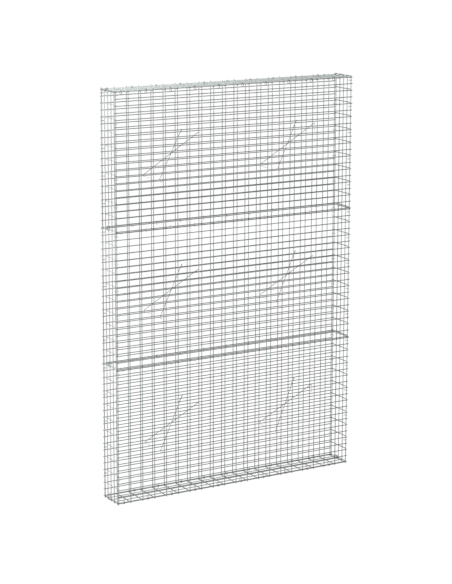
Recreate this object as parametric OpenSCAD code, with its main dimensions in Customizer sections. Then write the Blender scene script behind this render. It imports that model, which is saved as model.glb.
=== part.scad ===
// Gabion wall: an empty basket of welded wire mesh, three tiers high.
// Every panel is a welded grid with two layers of wire. C-rings close the edges, and crossed tie wires
// hold the two long faces together.
// The origin is on the ground under the middle of the wall: X runs along it, -Y is its front, +Z is up.

/* [Wall] */
// Length of a long panel, between its end wires
wall_l = 2000; // [1000:50:3000]
// Depth of the side, base and cover panels, between their edge wires
basket_d = 200; // [150:10:400]
// Height of one tier, between the edge wires of its panels
tier_h = 1000; // [700:50:1200]

/* [Mesh] */
// Long side of a mesh opening, wire centre to wire centre
mesh_long = 100; // [80:5:120]
// Short side of a mesh opening, wire centre to wire centre
mesh_short = 50; // [40:5:60]
// Thickness of the mesh wire
wire_d = 6; // [4:0.5:6]
// How far two crossing wires are pressed into each other at a weld
weld = 1; // [0.3:0.1:1.5]
// Wire ends past the edge wires, on the ground and at the top of the wall
free_end = 12.5; // [12.5:0.5:20]
// From the edge wires of a side, base or cover panel to the uprights of the long panels
corner_gap = 8; // [7:0.5:10.5]
// Between the edge wires of two tiers
tier_gap = 9; // [8:0.5:14]

/* [Rings] */
// Thickness of the wire of a C-ring
ring_wire = 3; // [2:0.5:3]
// Inner diameter of a closed C-ring
ring_in = 24; // [22:1:30]
// Part of a turn that is open in a C-ring, in degrees
ring_open = 50; // [20:5:90]
// Mesh columns from one C-ring to the next along a long edge
ring_columns = 2; // [2:1:4]
// From the end wire to the first C-ring
ring_first = 43; // [35:1:60]

/* [Ties] */
// Thickness of a tie wire
tie_d = 3.5; // [2.5:0.5:4]
// Mesh columns that a tie reaches along the wall
tie_columns = 3; // [1:2:5]
// Mesh rows that a tie climbs
tie_rows = 6; // [4:2:10]
// Straight tail of the lower hook
tail_low = 45; // [10:1:60]
// How far the lower hook's tail falls, in degrees
tail_fall = 16; // [0:1:30]
// Straight tail of the upper hook
tail_high = 52; // [10:1:80]
// How far the upper hook reaches past its row, along the tie
tail_out = 20; // [16:1:30]
// How far the tails at the back lean along the wall, in degrees
tail_lean = 36; // [0:1:60]

/* [Hidden] */
clear = 0.3;              // between pieces that touch
bar_sides = 6;            // flats round a mesh wire
ring_faces = 24;          // facets of a ring when drawn
tie_sides = 6;            // flats round a tie wire
tie_steps = 4;            // segments in a quarter turn of a hook
layer = wire_d - weld;    // between the axes of two crossing layers
wire_r = wire_d / 2;
wire_c = wire_r * sqrt(2 * PI / (bar_sides * sin(360 / bar_sides)));  // to its corners, for a round wire's area
face_y = basket_d / 2 + corner_gap;          // uprights of the long panels
row_y = face_y + layer;                      // rows of the long panels
side_lift = 2 * wire_c + clear;              // sides sit higher than the base and cover, past their wires
side_out_x = wall_l / 2 + wire_r + wire_c + clear;  // uprights of the side panels, past the base's wire ends
side_in_x = side_out_x - layer;              // cross wires of the side panels
short_end = corner_gap - wire_c - clear;     // wire ends that point at the long panels' uprights
seam_end = tier_gap / 2 - clear / 2;         // wire ends that point at the next tier
row_end = 10;                                // rows of a long panel past its end wires
base_z = free_end;
tier_step = tier_h + tier_gap;
cover_z = base_z + 2 * tier_step + tier_h;
rows = round(tier_h / mesh_short);
side_rows = round(tier_h / mesh_long);
columns = round(wall_l / mesh_long);
side_columns = round(basket_d / mesh_short);
column_pitch = wall_l / columns;
row_pitch = tier_h / rows;
ring_r = ring_in / 2 + ring_wire / 2;        // to the middle of a ring's wire
ring_seat = ring_in / 2 - wire_c - clear;    // from a ring's centre to the axis of a wire it rests on
ring_step = ring_columns * column_pitch;
ring_count = floor((wall_l - 2 * ring_first) / ring_step) + 1;
ring_start = -wall_l / 2 + ring_first;
corner_rings = [0.15, 0.35, 0.55, 0.75, 0.95];  // heights in a tier, as shares of it
side_ring_y = side_columns % 2 == 0 ? basket_d / side_columns / 2 : 0;  // between two uprights of a side panel
spare_ring_step = ring_wire + 6;             // between the three rings low on the right
tie_x = wall_l / 2 - round(columns / 4) * column_pitch;  // each pair crosses over an upright
tie_run = tie_columns * column_pitch;
tie_rise = tie_rows * row_pitch;
tie_low_row = round(rows / 2) - tie_rows / 2;
tie_plan = norm([tie_run, 2 * row_y]);       // length of a tie seen from above
tie_along = tie_run / tie_plan;              // share of a tie's way that runs along the wall
tie_across = 2 * row_y / tie_plan;           // and across it
tie_reach = wire_c + tie_d / 2 + clear;      // between the axes of a tie and of a row that it rests on
tie_turn = (tie_reach + clear) / tie_across; // radius of the lower hook, on its centre line
tie_bend = tie_d * 1.5;                      // radius of the upper hook, on its centre line
row_slope = atan2(tie_rise, tie_plan);
tie_apart = tie_d / 2 + clear;               // from the middle of a crossed pair to each tie
tie_drop = tie_apart * tie_run / norm([tie_run, tie_rise]);  // so one is that much lower, the other higher
tie_over = tie_reach * norm([sin(row_slope) / tie_across, cos(row_slope)])
    + tie_drop * cos(row_slope);             // from a tie to its upper row, across the tie
tie_slope = row_slope - asin((tie_turn - tie_over) / norm([tie_plan, tie_rise]));

// Places of n + 1 wires spread evenly over a length, about its middle
function spread(length, n) = [for (i = [0:n]) -length / 2 + i * length / n];

// A straight mesh wire along Z, with corners towards Y
module wire(length) {
    rotate([0, 0, 180 / bar_sides]) cylinder(h = length, r = wire_c, $fn = bar_sides);
}

// A grid in the XZ plane. Uprights stand on the plane, and rows lie one layer towards -Y.
// span and height are measured between edge wires; ends gives the wire ends past the left and right,
// the lower and the upper edge wire.
module grid(span, height, n_up, n_rows, ends, lower_end, upper_end) {
    union() {
        for (x = spread(span, n_up)) {
            translate([x, 0, -lower_end]) wire(height + lower_end + upper_end);
        }
        for (z = spread(height, n_rows)) {
            translate([-span / 2 - ends, -layer, z + height / 2]) rotate([0, 90, 0]) wire(span + 2 * ends);
        }
    }
}

// Lower and upper wire ends of a tier's panels, from 0 (lower) to 2 (upper)
function lower_end(tier) = tier == 0 ? free_end : seam_end;
function upper_end(tier) = tier == 2 ? free_end : seam_end;

module long_panel(tier) {
    translate([0, -face_y, base_z + tier * tier_step])
        grid(wall_l, tier_h, columns, rows, row_end, lower_end(tier), upper_end(tier));
}

module front_panel(tier) {
    color("darkgray") long_panel(tier);
}

module back_panel(tier) {
    color("darkgray") mirror([0, 1, 0]) long_panel(tier);
}

// A side panel stands with its uprights outside and its cross wires inside
module side_panel(tier) {
    translate([side_out_x, 0, base_z + side_lift + tier * tier_step])
        rotate([0, 0, -90])
        grid(basket_d, tier_h, side_columns, side_rows, short_end,
            lower_end(tier) + (tier == 0 ? side_lift : 0), upper_end(tier) - (tier == 2 ? side_lift : 0));
}

module right_panel(tier) {
    color("silver") side_panel(tier);
}

module left_panel(tier) {
    color("silver") mirror([1, 0, 0]) side_panel(tier);
}

// The base and the cover lie with their long wires on top and their cross wires below
module lying_grid() {
    union() {
        for (y = spread(basket_d, side_columns)) {
            translate([-wall_l / 2 - wire_r, y, 0]) rotate([0, 90, 0]) wire(wall_l + wire_d);
        }
        for (x = spread(wall_l, columns)) {
            translate([x, basket_d / 2 + short_end, -layer])
                rotate([90, 0, 0]) wire(basket_d + 2 * short_end);
        }
    }
}

module base_panel() {
    color("gray") translate([0, 0, base_z]) lying_grid();
}

module cover_panel() {
    color("gray") translate([0, 0, cover_z]) lying_grid();
}

// A C-ring in the XY plane, open towards +X
module ring() {
    rotate([0, 0, ring_open / 2])
        rotate_extrude(angle = 360 - ring_open, $fn = ring_faces)
        translate([ring_r, 0]) circle(d = ring_wire, $fn = ring_faces);
}

// How far a ring's centre lies off the line between two wires that it rests on
function ring_off(apart) = sqrt(ring_seat * ring_seat - apart * apart / 4);

// Rings along a long edge, in planes across it; drop moves their centres from the middle of the two wires
module edge_rings(y, z, drop_y, drop_z, open_to) {
    color("lightsteelblue")
        for (i = [0:ring_count - 1]) {
            translate([ring_start + i * ring_step, y + drop_y, z + drop_z])
                rotate([open_to, 0, 0]) rotate([0, -90, 0]) ring();
        }
}

// Where a long panel's edge row and the base or cover panel's edge wire lie side by side
flat_pair_y = (row_y + basket_d / 2) / 2;
flat_drop = ring_off(row_y - basket_d / 2);
seam_drop = ring_off(tier_gap);

module front_base_rings() {
    edge_rings(-flat_pair_y, base_z, 0, flat_drop, 0);
}

module front_cover_rings() {
    edge_rings(-flat_pair_y, cover_z, 0, -flat_drop, 180);
}

module back_base_rings() {
    mirror([0, 1, 0]) front_base_rings();
}

module back_cover_rings() {
    mirror([0, 1, 0]) front_cover_rings();
}

// Middle height of the seam above a tier
function seam_z(tier) = base_z + tier * tier_step + tier_h + tier_gap / 2;

module front_seam_rings(tier) {
    edge_rings(-row_y, seam_z(tier), seam_drop, 0, -90);
}

module back_seam_rings(tier) {
    mirror([0, 1, 0]) front_seam_rings(tier);
}

// Rings in the middle of a side's edges, in planes along the wall
module side_ring(y, z, drop_x) {
    translate([side_in_x + drop_x, y, z]) rotate([90, 0, 0]) rotate([0, 0, 180]) ring();
}

module side_rings(low_places) {
    color("lightsteelblue") {
        for (y = low_places) side_ring(y, base_z - layer + ring_seat, -(side_in_x - wall_l / 2));
        side_ring(side_ring_y, seam_z(0) + side_lift, -ring_off(tier_gap));
        side_ring(side_ring_y, seam_z(1) + side_lift, -ring_off(tier_gap));
        side_ring(side_ring_y, cover_z + side_lift - ring_seat, 0);
    }
}

module right_side_rings() {
    side_rings([side_ring_y - spare_ring_step, side_ring_y, side_ring_y + spare_ring_step]);
}

module left_side_rings() {
    mirror([1, 0, 0]) side_rings([side_ring_y]);
}

// Rings round the upright wires that meet at a corner
corner_vec = [side_out_x - wall_l / 2, face_y - basket_d / 2];
corner_mid = [(side_out_x + wall_l / 2) / 2, -(face_y + basket_d / 2) / 2];
corner_in = [-corner_vec[1], corner_vec[0]] / norm(corner_vec);
corner_at = corner_mid + corner_in * ring_off(norm(corner_vec));

module corner_rings_right() {
    color("lightsteelblue")
        for (tier = [0:2], share = corner_rings) {
            translate([corner_at[0], corner_at[1], base_z + tier * tier_step + corner_row(share)])
                rotate([0, 0, atan2(corner_in[1], corner_in[0])]) ring();
        }
}

// Height of a corner ring in its tier, half-way between two rows of the long panels
function corner_row(share) = (floor(share * rows) + 0.5) * row_pitch;

module front_right_corner_rings() {
    corner_rings_right();
}

module front_left_corner_rings() {
    mirror([1, 0, 0]) corner_rings_right();
}

module back_right_corner_rings() {
    mirror([0, 1, 0]) corner_rings_right();
}

module back_left_corner_rings() {
    mirror([1, 0, 0]) mirror([0, 1, 0]) corner_rings_right();
}

// A tie's centre line: [along, across, up] from the lower row wire that it hooks round. It is in an upright
// plane but for its last straight, which runs in the direction last. It leaves the lower hook along a tangent,
// rests on the upper row and bends down past it.
function arc(centre, r, from, to) = let (n = ceil(abs(to - from) / 90 * tie_steps))
    [for (i = [0:n]) let (a = from + (to - from) * i / n) centre + r * [cos(a), 0, sin(a)]];
bend_x = tie_plan + tail_out - tie_bend;
bend_z = (tie_turn - tie_bend + sin(tie_slope) * bend_x) / cos(tie_slope);
tie_bends = concat(
    arc([0, 0, 0], tie_turn, 270 - tail_fall, 90 + tie_slope),
    arc([bend_x, 0, bend_z], tie_bend, 90 + tie_slope, 0)
);
function tie_line(last) = concat(
    [tie_bends[0] + tail_low * [cos(tail_fall), 0, -sin(tail_fall)]],
    tie_bends,
    [tie_bends[len(tie_bends) - 1] + tail_high * last]
);
tie_last = len(tie_bends) + 1;
function unit(v) = v / norm(v);
function tie_dir(line, i) = unit(line[min(i + 1, tie_last)] - line[max(i - 1, 0)]);
function tie_points(line) = [for (i = [0:tie_last], k = [0:tie_sides - 1])
    let (d = tie_dir(line, i), up = unit(cross(d, [0, 1, 0])), a = 360 * k / tie_sides)
    line[i] + tie_d / 2 * (cos(a) * up + sin(a) * cross(up, d))];
tie_faces = concat(
    [[for (k = [0:tie_sides - 1]) k]],
    [[for (k = [tie_sides - 1:-1:0]) tie_last * tie_sides + k]],
    [for (i = [0:tie_last - 1], k = [0:tie_sides - 1])
        let (a = i * tie_sides, k2 = (k + 1) % tie_sides) [a + k, a + tie_sides + k, a + tie_sides + k2, a + k2]]
);

// A tie from the row of one face, low on the left, to the row of the other face, high on the right.
// toward is 1 where it rises to the back and -1 where it rises to the front; lean tilts its upper tail.
module tie(column_x, tier, toward, lean) {
    low_z = base_z + tier * tier_step + tie_low_row * row_pitch;
    last = [-tie_along * sin(lean), toward * tie_across * sin(lean), -cos(lean)];
    color("dimgray")
        translate([column_x - tie_run / 2, -toward * row_y, low_z])
        translate(toward * tie_apart * [tie_rise, 0, -tie_run] / norm([tie_rise, tie_run]))
        rotate([0, 0, atan2(toward * 2 * row_y, tie_run)])
        polyhedron(tie_points(tie_line(last)), tie_faces);
}

// A crossed pair has one tie that rises to the back and one that rises to the front
module tie_a(column_x, tier) {
    tie(column_x, tier, 1, tail_lean);
}

module tie_b(column_x, tier) {
    tie(column_x, tier, -1, 0);
}

front_panel(0);  // front_lower_panel
front_panel(1);  // front_middle_panel
front_panel(2);  // front_upper_panel
back_panel(0);  // back_lower_panel
back_panel(1);  // back_middle_panel
back_panel(2);  // back_upper_panel
left_panel(0);  // left_lower_panel
left_panel(1);  // left_middle_panel
left_panel(2);  // left_upper_panel
right_panel(0);  // right_lower_panel
right_panel(1);  // right_middle_panel
right_panel(2);  // right_upper_panel
base_panel();
cover_panel();
front_base_rings();
front_seam_rings(0);  // front_lower_seam_rings
front_seam_rings(1);  // front_upper_seam_rings
front_cover_rings();
back_base_rings();
back_seam_rings(0);  // back_lower_seam_rings
back_seam_rings(1);  // back_upper_seam_rings
back_cover_rings();
left_side_rings();
right_side_rings();
front_left_corner_rings();
front_right_corner_rings();
back_left_corner_rings();
back_right_corner_rings();
tie_a(-tie_x, 0);  // left_lower_tie_a
tie_b(-tie_x, 0);  // left_lower_tie_b
tie_a(-tie_x, 1);  // left_middle_tie_a
tie_b(-tie_x, 1);  // left_middle_tie_b
tie_a(-tie_x, 2);  // left_upper_tie_a
tie_b(-tie_x, 2);  // left_upper_tie_b
tie_a(tie_x, 0);  // right_lower_tie_a
tie_b(tie_x, 0);  // right_lower_tie_b
tie_a(tie_x, 1);  // right_middle_tie_a
tie_b(tie_x, 1);  // right_middle_tie_b
tie_a(tie_x, 2);  // right_upper_tie_a
tie_b(tie_x, 2);  // right_upper_tie_b
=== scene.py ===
"""Gabion wall: an empty basket of galvanised welded mesh, three tiers high, in a white studio."""
import math

import bpy
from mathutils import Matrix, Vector


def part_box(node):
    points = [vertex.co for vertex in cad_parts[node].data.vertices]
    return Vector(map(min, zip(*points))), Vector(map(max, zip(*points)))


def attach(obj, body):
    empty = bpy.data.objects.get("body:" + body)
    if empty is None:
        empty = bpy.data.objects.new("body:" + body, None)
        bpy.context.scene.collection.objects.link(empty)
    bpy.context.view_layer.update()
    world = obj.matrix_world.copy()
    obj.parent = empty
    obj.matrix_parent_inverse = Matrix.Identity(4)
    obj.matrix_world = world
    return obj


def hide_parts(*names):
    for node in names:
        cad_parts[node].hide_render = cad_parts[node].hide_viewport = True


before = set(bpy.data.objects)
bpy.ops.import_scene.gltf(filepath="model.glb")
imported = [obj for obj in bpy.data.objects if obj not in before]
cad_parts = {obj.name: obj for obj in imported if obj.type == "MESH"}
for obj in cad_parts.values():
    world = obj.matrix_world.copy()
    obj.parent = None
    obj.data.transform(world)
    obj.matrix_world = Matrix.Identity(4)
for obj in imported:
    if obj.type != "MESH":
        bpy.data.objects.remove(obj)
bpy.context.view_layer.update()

# ------------------------------------------------ sizes, in metres, as in the CAD source
WIRE_D = 0.006
WELD = 0.001
CLEAR = 0.0003
BAR_SIDES = 6
MESH_LONG = 0.100
MESH_SHORT = 0.050
FREE_END = 0.0125
CORNER_GAP = 0.008
TIER_GAP = 0.009
ROW_END = 0.010
RING_WIRE = 0.003
RING_IN = 0.024
RING_OPEN = math.radians(50)
RING_PITCH = 0.200
LOW_RING_PITCH = 0.009  # of the rings close together low on the right side
TIE_D = 0.0035
TIE_RUN = 0.300
TIE_ROWS = 6
TAIL_LOW = 0.045
TAIL_FALL = math.radians(16)
TAIL_HIGH = 0.052
TAIL_OUT = 0.020
TAIL_LEAN = math.radians(36)
TIE_BEND = TIE_D * 1.5

WIRE_R = WIRE_D / 2
# to the corner of a CAD bar, which has a round wire's section area
WIRE_C = WIRE_R * math.sqrt(2 * math.pi / (BAR_SIDES * math.sin(2 * math.pi / BAR_SIDES)))
LAYER = WIRE_D - WELD
SEAM_END = TIER_GAP / 2 - CLEAR / 2
SHORT_END = CORNER_GAP - WIRE_C - CLEAR
SIDE_LIFT = 2 * WIRE_C + CLEAR
RING_R = RING_IN / 2 + RING_WIRE / 2
RING_REACH = RING_IN / 2 - WIRE_C - CLEAR  # from a ring's centre to the axis of a wire it rests on
TIERS = ("lower", "middle", "upper")
X, Y, Z = range(3)

# ------------------------------------------------ sizes that only the looks need
WIRES, CROSSING, WELDS, AT_SEAM = range(4)  # material slots of a mesh panel
ROUND = 10  # sides of a round wire, ring, tie or weld
END_CUT = 0.25  # in radii of its wire, how far in a sheared end is rounded over
END_FACE = 0.8  # in radii of its wire, how wide the end's face is
WELD_LAYERS = 4
WELD_WIDE = WIRE_R * 1.22
WELD_THICK = WIRE_R * 0.62
RING_STEPS = 26
RING_TIP = 0.55  # in radii of its wire, how wide a ring's pointed tip is
HOOK_STEPS = 14
BEND_STEPS = 10
# The tails' slot takes a painted highlight: a light copy of the tie wire where light catches its
# ends.
TAIL_HIGHLIGHT_SLOTS = (9, 1, 1)  # steps of a tie's low tail, steps of its high tail, and their slot


# ------------------------------------------------ meshes
class Shape:
    """Gathers swept wires and welds, and makes one mesh object of them."""

    def __init__(self):
        self.points, self.faces, self.slots, self.smooth = [], [], [], []

    def add(self, points, faces, slot, smooth):
        start = len(self.points)
        self.points.extend(points)
        self.faces.extend([tuple(start + i for i in f) for f in faces])
        self.slots.extend([slot] * len(faces))
        self.smooth.extend(smooth if isinstance(smooth, list) else [smooth] * len(faces))

    def sweep(self, path, radii, slot=0, end_slots=(0, 0, 0)):
        """A round bar along a path, with its own radius at each point.

        end_slots is how many steps at its start and its end have another slot, and which one.
        """
        path = [Vector(p) for p in path]
        last = len(path) - 1
        ways = [
            (path[min(i + 1, last)] - path[max(i - 1, 0)]).normalized()
            for i in range(last + 1)
        ]
        side = ways[0].orthogonal().normalized()
        points = []
        for p, way, r in zip(path, ways, radii):
            side = (side - way * side.dot(way)).normalized()
            other = way.cross(side)
            for k in range(ROUND):
                a = 2 * math.pi * k / ROUND
                points.append(p + (side * math.cos(a) + other * math.sin(a)) * r)
        faces = tube_faces(last)
        smooth = [True] * (last * ROUND) + [False, False]
        first = len(self.slots)
        self.add(points, faces, slot, smooth)
        head, tail, other_slot = end_slots
        for i in list(range(head)) + list(range(last - tail, last)):
            self.slots[first + i * ROUND:first + (i + 1) * ROUND] = [other_slot] * ROUND

    def wire(self, start, end, slot):
        """A straight mesh wire whose sheared ends are slightly rounded over."""
        start, end = Vector(start), Vector(end)
        cut = (end - start).normalized() * (WIRE_R * END_CUT)
        path = [start, start + cut, end - cut, end]
        self.sweep(path, [WIRE_R * END_FACE, WIRE_R, WIRE_R, WIRE_R * END_FACE], slot)

    def weld(self, centre, across, slot):
        """The metal squeezed out round a resistance weld: a flat lens between two crossing wires.

        across is the number of the axis that the lens is thin along.
        """
        others = [n for n in range(3) if n != across]
        points = []
        for i in range(1, WELD_LAYERS):
            polar = math.pi * i / WELD_LAYERS
            for k in range(ROUND):
                a = 2 * math.pi * k / ROUND
                p = [0.0, 0.0, 0.0]
                p[others[0]] = WELD_WIDE * math.sin(polar) * math.cos(a)
                p[others[1]] = WELD_WIDE * math.sin(polar) * math.sin(a)
                p[across] = WELD_THICK * math.cos(polar)
                points.append(Vector(centre) + Vector(p))
        faces = tube_faces(WELD_LAYERS - 2)
        if across != Y:  # X and Z are a left-handed pair, and the other two are right-handed
            faces = [tuple(reversed(f)) for f in faces]
        self.add(points, faces, slot, True)

    def make(self, name, materials):
        mesh = bpy.data.meshes.new(name)
        mesh.from_pydata([tuple(p) for p in self.points], [], self.faces)
        mesh.polygons.foreach_set("material_index", self.slots)
        mesh.polygons.foreach_set("use_smooth", self.smooth)
        for material in materials:
            mesh.materials.append(material)
        mesh.validate()
        mesh.update()
        piece = bpy.data.objects.new(name, mesh)
        bpy.context.scene.collection.objects.link(piece)
        return piece


def tube_faces(steps):
    """The faces of a closed tube with that many steps and ROUND points in each circle."""
    faces = []
    for i in range(steps):
        for k in range(ROUND):
            a, b = i * ROUND + k, i * ROUND + (k + 1) % ROUND
            faces.append((a, b, b + ROUND, a + ROUND))
    faces.append(tuple(reversed(range(ROUND))))
    faces.append(tuple(steps * ROUND + k for k in range(ROUND)))
    return faces


def spread(low, high, step):
    """Evenly spaced places from low to high, as near to step apart as they can be."""
    n = round((high - low) / step)
    return [low + (high - low) * i / n for i in range(n + 1)]


# ------------------------------------------------ materials
def srgb(*levels):
    """Linear values for a colour given as 0 to 255 screen levels."""
    linear = [v / 255 / 12.92 if v <= 10 else ((v / 255 + 0.055) / 1.055) ** 2.4 for v in levels]
    return (*linear, 1.0)


STREAK_SCALE = 620  # the scales are per metre
BLOOM_SCALE = 30
NODULE_SCALE = 900
RUST_SCALE = 170
SPANGLE_SCALE = 420
BLOOM_SHARE = 0.45  # of the tone, with the rest half spangle and half streaks
STREAK_SHARE = 0.4  # of the bump, with the rest nodules
DARK_AT, LIGHT_AT = 0.30, 0.70  # the tones that get the dark and the light colour
WHITE_RUST = srgb(214, 216, 212)
RUST_FROM, RUST_TO = 0.66, 0.74  # noise levels where it starts and where it is full
RUST_FULL = 0.6
ROUGH_LESS, ROUGH_MORE = 0.12, 0.16
BUMP_STRENGTH, BUMP_HEIGHT = 0.30, 0.0003


def zinc(name, dark, light, roughness, metallic, along=(1, 1, 1)):
    """Galvanised wire: spangle, drawn streaks, a dull bloom, white rust specks and fine nodules.

    along scales the streaks, and is small on the axis that they run along.
    """
    material = bpy.data.materials.new(name)
    material.use_nodes = True
    nodes, links = material.node_tree.nodes, material.node_tree.links
    shader = nodes["Principled BSDF"]
    shader.inputs["Metallic"].default_value = metallic
    here = nodes.new("ShaderNodeTexCoord").outputs["Object"]

    def noise(scale, detail, vector):
        texture = nodes.new("ShaderNodeTexNoise")
        texture.inputs["Scale"].default_value = scale
        texture.inputs["Detail"].default_value = detail
        links.new(vector, texture.inputs["Vector"])
        return texture.outputs["Fac"]

    def blend(share, a, b):
        mix = nodes.new("ShaderNodeMix")
        mix.data_type = "FLOAT"
        mix.inputs["Factor"].default_value = share
        links.new(a, mix.inputs["A"])
        links.new(b, mix.inputs["B"])
        return mix.outputs["Result"]

    drawn = nodes.new("ShaderNodeMapping")
    drawn.inputs["Scale"].default_value = along
    links.new(here, drawn.inputs["Vector"])
    streaks = noise(STREAK_SCALE, 3, drawn.outputs["Vector"])
    bloom = noise(BLOOM_SCALE, 5, here)
    nodules = noise(NODULE_SCALE, 3, here)
    rust = noise(RUST_SCALE, 2, here)
    spangle = nodes.new("ShaderNodeTexVoronoi")
    spangle.inputs["Scale"].default_value = SPANGLE_SCALE
    links.new(here, spangle.inputs["Vector"])
    tone = blend(BLOOM_SHARE, blend(0.5, spangle.outputs["Color"], streaks), bloom)
    ramp = nodes.new("ShaderNodeValToRGB")
    ramp.color_ramp.elements[0].position = DARK_AT
    ramp.color_ramp.elements[0].color = srgb(*dark)
    ramp.color_ramp.elements[1].position = LIGHT_AT
    ramp.color_ramp.elements[1].color = srgb(*light)
    links.new(tone, ramp.inputs["Fac"])
    specks = nodes.new("ShaderNodeMapRange")
    specks.inputs["From Min"].default_value = RUST_FROM
    specks.inputs["From Max"].default_value = RUST_TO
    specks.inputs["To Max"].default_value = RUST_FULL
    links.new(rust, specks.inputs["Value"])
    colour = nodes.new("ShaderNodeMix")
    colour.data_type = "RGBA"
    links.new(specks.outputs["Result"], colour.inputs["Factor"])
    links.new(ramp.outputs["Color"], colour.inputs["A"])
    colour.inputs["B"].default_value = WHITE_RUST
    links.new(colour.outputs["Result"], shader.inputs["Base Color"])
    rough = nodes.new("ShaderNodeMapRange")
    rough.inputs["To Min"].default_value = roughness - ROUGH_LESS
    rough.inputs["To Max"].default_value = roughness + ROUGH_MORE
    links.new(blend(0.5, bloom, streaks), rough.inputs["Value"])
    links.new(rough.outputs["Result"], shader.inputs["Roughness"])
    bump = nodes.new("ShaderNodeBump")
    bump.inputs["Strength"].default_value = BUMP_STRENGTH
    bump.inputs["Distance"].default_value = BUMP_HEIGHT
    links.new(blend(STREAK_SHARE, nodules, streaks), bump.inputs["Height"])
    links.new(bump.outputs["Normal"], shader.inputs["Normal"])
    return material


STRETCH = 0.05
ALONG_X, ALONG_Y, ALONG_Z = (STRETCH, 1, 1), (1, STRETCH, 1), (1, 1, STRETCH)
# One zinc, copied per part: apart from the uprights, welds and corner rings, each copy is made
# lighter or darker as painted light or painted shade.
UPRIGHT_ZINC = zinc("upright_zinc", (126, 135, 132), (156, 164, 161), 0.50, 0.55, ALONG_Z)
# Painted shade: the faces' rows are the uprights' zinc made darker, in place of the shade that
# falls on level wires.
ROW_ZINC_PAINTED_SHADE = zinc("row_zinc_painted_shade", (88, 90, 90), (116, 118, 117), 0.50, 0.55, ALONG_X)
# Painted shade: the rows next to a seam between tiers are darker still, in place of the shade
# between the closely packed wires there.
SEAM_ROW_ZINC_PAINTED_SHADE = zinc("seam_row_zinc_painted_shade", (62, 64, 64), (88, 90, 89), 0.50, 0.60, ALONG_X)
# Painted light: the side panels' uprights are a lighter copy of the upright zinc, for the light on
# the ends.
SIDE_POST_ZINC_PAINTED_LIGHT = zinc("side_post_zinc_painted_light", (136, 140, 138), (166, 170, 168), 0.50, 0.55, ALONG_Z)
# Painted light: the left end's cross wires are much lighter, in place of the light falling on that
# side.
LEFT_CROSS_ZINC_PAINTED_LIGHT = zinc("left_cross_zinc", (184, 193, 190), (212, 219, 216), 0.50, 0.45, ALONG_Y)
# Painted shade: the right end's cross wires, seen from inside the basket, are a darker copy of the
# zinc.
RIGHT_CROSS_ZINC_PAINTED_SHADE = zinc("right_cross_zinc", (96, 108, 105), (126, 138, 134), 0.50, 0.55, ALONG_Y)
# Painted shade: the base's long and cross wires are darker copies of the zinc, in place of the
# shade low down by the floor.
BASE_LONG_ZINC_PAINTED_SHADE = zinc("base_long_zinc_painted_shade", (112, 120, 118), (142, 150, 147), 0.50, 0.55, ALONG_X)
BASE_CROSS_ZINC_PAINTED_SHADE = zinc("base_cross_zinc_painted_shade", (104, 112, 110), (134, 142, 139), 0.50, 0.55, ALONG_Y)
# Painted light: the cover's long wires are a lighter copy of the zinc, for the light from above on
# the top.
COVER_LONG_ZINC_PAINTED_LIGHT = zinc("cover_long_zinc_painted_light", (160, 165, 163), (188, 194, 191), 0.50, 0.50, ALONG_X)
# Painted shade: the cover's cross wires, under its long wires, are a darker copy of the zinc.
COVER_CROSS_ZINC_PAINTED_SHADE = zinc("cover_cross_zinc_painted_shade", (110, 118, 116), (140, 148, 145), 0.50, 0.50, ALONG_Y)
WELD_ZINC = zinc("weld_zinc", (112, 119, 116), (142, 149, 146), 0.62, 0.40)
# Painted shade: the rings along the base and cover edges are near black instead of the rings' own
# zinc grey.
EDGE_RING_ZINC_PAINTED_SHADE = zinc("edge_ring_zinc_painted_shade", (8, 9, 11), (26, 28, 31), 0.45, 0.95)
# Painted highlight: the rings at the tier seams are a light copy of the ring zinc, for the light
# catching them.
SEAM_RING_ZINC_PAINTED_HIGHLIGHT = zinc("seam_ring_zinc_painted_highlight", (158, 166, 168), (190, 197, 199), 0.38, 0.7)
# Painted shade: the rings on the ends are a darker copy of the ring zinc, with a blue tint.
SIDE_RING_ZINC_PAINTED_SHADE = zinc("side_ring_zinc_painted_shade", (78, 88, 96), (120, 130, 138), 0.38, 0.7)
CORNER_RING_ZINC = zinc("corner_ring_zinc", (132, 142, 140), (168, 176, 174), 0.38, 0.7)
# Painted shade: one tie of each pair, tie_b, is near black, a dark copy of the same zinc wire.
TIE_ZINC_PAINTED_SHADE = zinc("tie_zinc_painted_shade", (16, 17, 18), (38, 39, 40), 0.45, 0.9)
# Painted shade: the other tie of each pair, with the leaning tail, is a darker copy of the zinc
# wire.
STEEP_TIE_ZINC_PAINTED_SHADE = zinc("steep_tie_zinc_painted_shade", (84, 88, 88), (116, 120, 120), 0.45, 0.7)
# Painted highlight: the ties' tail ends are nearly white, a lit copy of the tie wire.
TAIL_ZINC_PAINTED_HIGHLIGHT = zinc("tail_zinc_painted_highlight", (178, 174, 174), (210, 206, 206), 0.40, 0.5)


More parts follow.
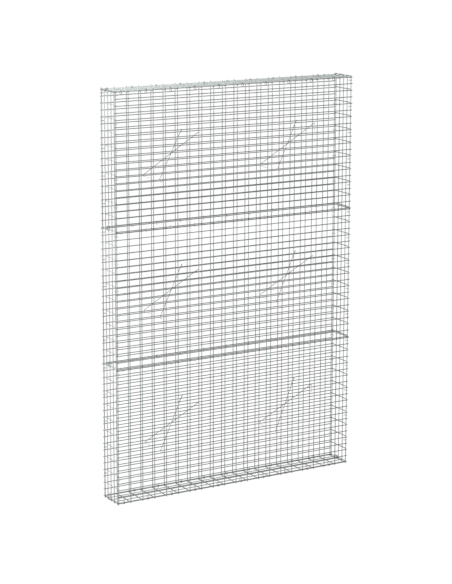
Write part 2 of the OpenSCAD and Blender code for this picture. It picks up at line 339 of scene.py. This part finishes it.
# ------------------------------------------------ panels
def long_panel(node, tier):
    """A face of one tier. Its rows lie outside its uprights."""
    lo, hi = (Vector(v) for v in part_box(node))
    is_front = lo.y < 0
    row_y = lo.y + WIRE_C if is_front else hi.y - WIRE_C
    up_y = row_y + LAYER if is_front else row_y - LAYER
    low_end = FREE_END if tier == 0 else SEAM_END
    high_end = FREE_END if tier == 2 else SEAM_END
    columns = spread(lo.x + ROW_END, hi.x - ROW_END, MESH_LONG)
    rows = spread(lo.z + low_end, hi.z - high_end, MESH_SHORT)
    shape = Shape()
    for x in columns:
        shape.wire((x, up_y, lo.z), (x, up_y, hi.z), WIRES)
    # Rows next to a seam take the slot with the painted shade between tiers.
    at_seams = [rows[-1]] * (tier < 2) + [rows[0]] * (tier > 0)
    for z in rows:
        shape.wire((lo.x, row_y, z), (hi.x, row_y, z), AT_SEAM if z in at_seams else CROSSING)
    for x in columns:
        for z in rows:
            shape.weld((x, (row_y + up_y) / 2, z), Y, WELDS)
    metals = [UPRIGHT_ZINC, ROW_ZINC_PAINTED_SHADE, WELD_ZINC, SEAM_ROW_ZINC_PAINTED_SHADE]
    piece = shape.make(node.replace("_panel", "_mesh"), metals)
    place(piece, node)
    return {"row_y": row_y, "up_y": up_y, "columns": columns, "rows": rows}


def side_panel(node, tier):
    """An end of one tier. Its uprights lie outside its cross wires."""
    lo, hi = (Vector(v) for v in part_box(node))
    is_left = lo.x < 0
    up_x = lo.x + WIRE_C if is_left else hi.x - WIRE_C
    row_x = up_x + LAYER if is_left else up_x - LAYER
    low_end = FREE_END + SIDE_LIFT if tier == 0 else SEAM_END
    high_end = FREE_END - SIDE_LIFT if tier == 2 else SEAM_END
    uprights = spread(lo.y + SHORT_END, hi.y - SHORT_END, MESH_SHORT)
    rows = spread(lo.z + low_end, hi.z - high_end, MESH_LONG)
    shape = Shape()
    for y in uprights:
        shape.wire((up_x, y, lo.z), (up_x, y, hi.z), WIRES)
    for z in rows:
        shape.wire((row_x, lo.y, z), (row_x, hi.y, z), CROSSING)
    for y in uprights:
        for z in rows:
            shape.weld(((row_x + up_x) / 2, y, z), X, WELDS)
    metals = [SIDE_POST_ZINC_PAINTED_LIGHT, LEFT_CROSS_ZINC_PAINTED_LIGHT if is_left else RIGHT_CROSS_ZINC_PAINTED_SHADE, WELD_ZINC]
    piece = shape.make(node.replace("_panel", "_mesh"), metals)
    place(piece, node)
    return {"up_x": up_x, "row_x": row_x, "uprights": uprights, "rows": rows}


def flat_panel(node, long_zinc, cross_zinc):
    """The base or the cover. Its long wires lie on its cross wires."""
    lo, hi = (Vector(v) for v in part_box(node))
    cross_z = lo.z + WIRE_C
    long_z = cross_z + LAYER
    longs = spread(lo.y + SHORT_END, hi.y - SHORT_END, MESH_SHORT)
    crosses = spread(lo.x + WIRE_R, hi.x - WIRE_R, MESH_LONG)
    shape = Shape()
    for y in longs:
        shape.wire((lo.x, y, long_z), (hi.x, y, long_z), WIRES)
    for x in crosses:
        shape.wire((x, lo.y, cross_z), (x, hi.y, cross_z), CROSSING)
    for y in longs:
        for x in crosses:
            shape.weld((x, y, (long_z + cross_z) / 2), Z, WELDS)
    piece = shape.make(node.replace("_panel", "_mesh"), [long_zinc, cross_zinc, WELD_ZINC])
    place(piece, node)
    return {"cross_z": cross_z, "longs": longs, "crosses": crosses}


def place(piece, node):
    """Puts a piece on the wall's one body, in place of its CAD node."""
    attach(piece, "root")
    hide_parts(node)


front = [long_panel(f"front_{t}_panel", i) for i, t in enumerate(TIERS)]
back = [long_panel(f"back_{t}_panel", i) for i, t in enumerate(TIERS)]
left = [side_panel(f"left_{t}_panel", i) for i, t in enumerate(TIERS)]
right = [side_panel(f"right_{t}_panel", i) for i, t in enumerate(TIERS)]
base = flat_panel("base_panel", BASE_LONG_ZINC_PAINTED_SHADE, BASE_CROSS_ZINC_PAINTED_SHADE)
flat_panel("cover_panel", COVER_LONG_ZINC_PAINTED_LIGHT, COVER_CROSS_ZINC_PAINTED_SHADE)


# ------------------------------------------------ rings
def ring(shape, centre, axis, opening):
    """A C-ring round two wires: axis is across its plane, and opening points at its gap."""
    centre, opening = Vector(centre), Vector(opening).normalized()
    across = Vector(axis).normalized().cross(opening)
    path, radii = [], []
    for i in range(RING_STEPS + 1):
        a = RING_OPEN / 2 + (2 * math.pi - RING_OPEN) * i / RING_STEPS
        path.append(centre + (opening * math.cos(a) + across * math.sin(a)) * RING_R)
        radii.append(RING_WIRE / 2 * (RING_TIP if i in (0, RING_STEPS) else 1.0))
    shape.sweep(path, radii)


def seat(apart):
    """How far a ring's centre lies off the line between two wires that it rests on."""
    return math.sqrt(RING_REACH ** 2 - apart ** 2 / 4)


def long_rings(node, y, z, opening, metal):
    """Rings along a long edge, with their centres at y and z and their gaps towards opening."""
    lo, hi = (Vector(v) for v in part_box(node))
    shape = Shape()
    for x in spread(lo.x + RING_WIRE / 2, hi.x - RING_WIRE / 2, RING_PITCH):
        ring(shape, (x, y, z), (1, 0, 0), opening)
    piece = shape.make(node.replace("_rings", "_c_rings"), [metal])
    place(piece, node)


for name, face in (("front", front), ("back", back)):
    inward = 1 if name == "front" else -1
    row_y = face[0]["row_y"]
    edge_y = base["longs"][0 if name == "front" else -1]
    pair_y = (row_y + edge_y) / 2
    drop = seat(abs(row_y - edge_y))
    base_z = face[0]["rows"][0] + drop
    cover_z = face[2]["rows"][-1] - drop
    long_rings(f"{name}_base_rings", pair_y, base_z, (0, 0, 1), EDGE_RING_ZINC_PAINTED_SHADE)
    long_rings(f"{name}_cover_rings", pair_y, cover_z, (0, 0, -1), EDGE_RING_ZINC_PAINTED_SHADE)
    for tier in (0, 1):
        seam_z = (face[tier]["rows"][-1] + face[tier + 1]["rows"][0]) / 2
        seam = ("lower", "upper")[tier]
        ring_y = row_y + inward * seat(TIER_GAP)
        long_rings(f"{name}_{seam}_seam_rings", ring_y, seam_z, (0, inward, 0), SEAM_RING_ZINC_PAINTED_HIGHLIGHT)

for name, side in (("left", left), ("right", right)):
    node = f"{name}_side_rings"
    lo, hi = (Vector(v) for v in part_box(node))
    out = -1 if name == "left" else 1
    row_x = side[0]["row_x"]
    end_x = base["crosses"][0 if name == "left" else -1]
    shape = Shape()
    ys = [(lo.y + hi.y) / 2]
    if hi.y - lo.y > LOW_RING_PITCH:  # more than one ring at the base
        ys = spread(lo.y + RING_WIRE / 2, hi.y - RING_WIRE / 2, LOW_RING_PITCH)
    mid_y = sum(ys) / len(ys)
    for y in ys:
        ring(shape, (end_x, y, base["cross_z"] + RING_REACH), (0, 1, 0), (-out, 0, 0))
    for tier in (0, 1):
        seam_z = (side[tier]["rows"][-1] + side[tier + 1]["rows"][0]) / 2
        ring(shape, (row_x - out * seat(TIER_GAP), mid_y, seam_z), (0, 1, 0), (-out, 0, 0))
    ring(shape, (row_x, mid_y, side[2]["rows"][-1] - RING_REACH), (0, 1, 0), (-out, 0, 0))
    piece = shape.make(f"{name}_side_c_rings", [SIDE_RING_ZINC_PAINTED_SHADE])
    place(piece, node)

CORNER_SHARES = (0.15, 0.35, 0.55, 0.75, 0.95)  # of a tier's rows that lie below each ring
for face_name, face in (("front", front), ("back", back)):
    for side_name, side in (("left", left), ("right", right)):
        node = f"{face_name}_{side_name}_corner_rings"
        column = face[0]["columns"][0 if side_name == "left" else -1]
        upright = side[0]["uprights"][0 if face_name == "front" else -1]
        panel_post = Vector((column, face[0]["up_y"]))
        side_post = Vector((side[0]["up_x"], upright))
        gap = side_post - panel_post
        middle = (side_post + panel_post) / 2
        inward = Vector((-gap.y, gap.x)).normalized()
        if inward.dot(middle) > 0:
            inward = -inward
        at = middle + inward * seat(gap.length)
        shape = Shape()
        for tier in range(3):
            rows = face[tier]["rows"]
            for share in CORNER_SHARES:
                low = rows[int(share * (len(rows) - 1))]
                centre = (at.x, at.y, low + MESH_SHORT / 2)
                ring(shape, centre, (0, 0, 1), (inward.x, inward.y, 0))
        piece = shape.make(f"{face_name}_{side_name}_corner_c_rings", [CORNER_RING_ZINC])
        place(piece, node)


# ------------------------------------------------ ties
def arc(centre, radius, start, end, steps):
    """Points of an arc in a tie's own upright plane, as pairs of along and up."""
    angles = [start + (end - start) / steps * i for i in range(steps + 1)]
    return [(centre[0] + radius * math.cos(a), centre[1] + radius * math.sin(a)) for a in angles]


def tie(node, column_x, tier, toward, lean, metal):
    """A tie from a row of one face, low on the left, to a row of the other, high on the right."""
    row_y = abs(front[0]["row_y"])
    low_row = (len(front[0]["rows"]) - TIE_ROWS) // 2
    low_z = front[tier]["rows"][low_row]
    rise = front[tier]["rows"][low_row + TIE_ROWS] - low_z
    plan = math.hypot(TIE_RUN, 2 * row_y)
    share_across = 2 * row_y / plan
    reach = WIRE_C + TIE_D / 2 + CLEAR
    turn = (reach + CLEAR) / share_across
    row_slope = math.atan2(rise, plan)
    apart = TIE_D / 2 + CLEAR
    over = reach * math.hypot(math.sin(row_slope) / share_across, math.cos(row_slope))
    over += apart * TIE_RUN / math.hypot(TIE_RUN, rise) * math.cos(row_slope)
    slope = row_slope - math.asin((turn - over) / math.hypot(plan, rise))
    bend_x = plan + TAIL_OUT - TIE_BEND
    bend_z = (turn - TIE_BEND + math.sin(slope) * bend_x) / math.cos(slope)
    hook = arc((0, 0), turn, 1.5 * math.pi - TAIL_FALL, math.pi / 2 + slope, HOOK_STEPS)
    bend = arc((bend_x, bend_z), TIE_BEND, math.pi / 2 + slope, 0, BEND_STEPS)
    tail_x = hook[0][0] + TAIL_LOW * math.cos(TAIL_FALL)
    tail_z = hook[0][1] - TAIL_LOW * math.sin(TAIL_FALL)
    line = [(tail_x, tail_z)] + hook + bend

    along = Vector((TIE_RUN, toward * 2 * row_y, 0)).normalized()
    start = Vector((column_x - TIE_RUN / 2, -toward * row_y, low_z))
    start += Vector((rise, 0, -TIE_RUN)).normalized() * toward * apart
    path = [start + along * s + Vector((0, 0, h)) for s, h in line]
    path.append(path[-1] + Vector((-math.sin(lean), 0, -math.cos(lean))) * TAIL_HIGH)
    shape = Shape()
    shape.sweep(path, [TIE_D / 2] * len(path), end_slots=TAIL_HIGHLIGHT_SLOTS)
    piece = shape.make(node.replace("_tie", "_tie_wire"), [metal, TAIL_ZINC_PAINTED_HIGHLIGHT])
    place(piece, node)


TIE_X = (front[0]["columns"][-1] - front[0]["columns"][0]) / 4
for side_name, column_x in (("left", -TIE_X), ("right", TIE_X)):
    for tier, tier_name in enumerate(TIERS):
        tie(f"{side_name}_{tier_name}_tie_a", column_x, tier, 1, TAIL_LEAN, STEEP_TIE_ZINC_PAINTED_SHADE)
        tie(f"{side_name}_{tier_name}_tie_b", column_x, tier, -1, 0.0, TIE_ZINC_PAINTED_SHADE)


# ------------------------------------------------ studio
FLOOR_HALF = 120.0
FLOOR_WHITE = 0.94  # the rest of what the camera sees of the floor is lit, and shows shade
FLOOR_GLOW = 1.03
SKY_LIGHT = 0.72
LAMP_SIZE = 5.0
LAMPS_TO = (0, 0, 1.5)
CAMERA_AT = (-7.043, -11.714, 4.531)
CAMERA_YAW = 30.073  # degrees from +Y towards +X
CAMERA_PITCH = 10.511  # degrees down
CAMERA_LENS = 115.48
CAMERA_SHIFT = (0.046, -0.120)


def white_to_camera(tree, share):
    """The share of plain white in what the camera, or a ray off or through a surface, sees."""
    nodes, links = tree.nodes, tree.links
    path = nodes.new("ShaderNodeLightPath")
    either = nodes.new("ShaderNodeMath")
    either.operation = "MAXIMUM"
    links.new(path.outputs["Is Camera Ray"], either.inputs[0])
    links.new(path.outputs["Is Glossy Ray"], either.inputs[1])
    any_ray = nodes.new("ShaderNodeMath")
    any_ray.operation = "MAXIMUM"
    links.new(either.outputs[0], any_ray.inputs[0])
    links.new(path.outputs["Is Transmission Ray"], any_ray.inputs[1])
    part = nodes.new("ShaderNodeMath")
    part.operation = "MULTIPLY"
    part.inputs[1].default_value = share
    links.new(any_ray.outputs[0], part.inputs[0])
    return part.outputs[0]


def make_floor():
    mesh = bpy.data.meshes.new("floor")
    corners = [(x * FLOOR_HALF, y * FLOOR_HALF, 0) for x, y in ((-1, -1), (1, -1), (1, 1), (-1, 1))]
    mesh.from_pydata(corners, [], [(0, 1, 2, 3)])
    floor = bpy.data.objects.new("floor", mesh)
    bpy.context.scene.collection.objects.link(floor)
    material = bpy.data.materials.new("floor_white")
    material.use_nodes = True
    tree = material.node_tree
    shader = tree.nodes["Principled BSDF"]
    shader.inputs["Base Color"].default_value = (0.92, 0.92, 0.92, 1)
    shader.inputs["Roughness"].default_value = 0.9
    glow = tree.nodes.new("ShaderNodeEmission")
    glow.inputs["Strength"].default_value = FLOOR_GLOW
    mix = tree.nodes.new("ShaderNodeMixShader")
    tree.links.new(white_to_camera(tree, FLOOR_WHITE), mix.inputs[0])
    tree.links.new(shader.outputs[0], mix.inputs[1])
    tree.links.new(glow.outputs[0], mix.inputs[2])
    tree.links.new(mix.outputs[0], tree.nodes["Material Output"].inputs["Surface"])
    mesh.materials.append(material)


def make_world():
    world = bpy.data.worlds.new("studio")
    bpy.context.scene.world = world
    world.use_nodes = True
    tree = world.node_tree
    light = tree.nodes["Background"]
    light.inputs["Color"].default_value = (0.96, 0.98, 1.0, 1)
    light.inputs["Strength"].default_value = SKY_LIGHT
    white = tree.nodes.new("ShaderNodeBackground")
    white.inputs["Color"].default_value = (1, 1, 1, 1)
    white.inputs["Strength"].default_value = 1.0
    mix = tree.nodes.new("ShaderNodeMixShader")
    tree.links.new(white_to_camera(tree, 1.0), mix.inputs[0])
    tree.links.new(light.outputs[0], mix.inputs[1])
    tree.links.new(white.outputs[0], mix.inputs[2])
    tree.links.new(mix.outputs[0], tree.nodes["World Output"].inputs["Surface"])


def make_lamp(name, at, power):
    """A round soft lamp that points at the middle of the wall."""
    data = bpy.data.lights.new(name, "AREA")
    data.shape = "DISK"
    data.size = LAMP_SIZE
    data.energy = power
    lamp = bpy.data.objects.new(name, data)
    lamp.location = at
    lamp.rotation_euler = (Vector(LAMPS_TO) - Vector(at)).to_track_quat("-Z", "Y").to_euler()
    bpy.context.scene.collection.objects.link(lamp)


def make_camera():
    data = bpy.data.cameras.new("camera")
    data.sensor_width = 36.0
    data.lens = CAMERA_LENS
    data.shift_x, data.shift_y = CAMERA_SHIFT
    data.clip_end = 500
    camera = bpy.data.objects.new("camera", data)
    yaw, pitch = math.radians(CAMERA_YAW), math.radians(CAMERA_PITCH)
    camera.location = CAMERA_AT
    level = Vector((math.sin(yaw), math.cos(yaw), 0)) * math.cos(pitch)
    ahead = level - Vector((0, 0, math.sin(pitch)))
    camera.rotation_euler = ahead.to_track_quat("-Z", "Y").to_euler()
    bpy.context.scene.collection.objects.link(camera)
    bpy.context.scene.camera = camera


make_floor()
make_world()
make_lamp("key", (-6, -8, 9), 1200)
make_lamp("top", (1, 1, 9), 250)
make_camera()
bpy.context.scene.view_settings.view_transform = "Standard"
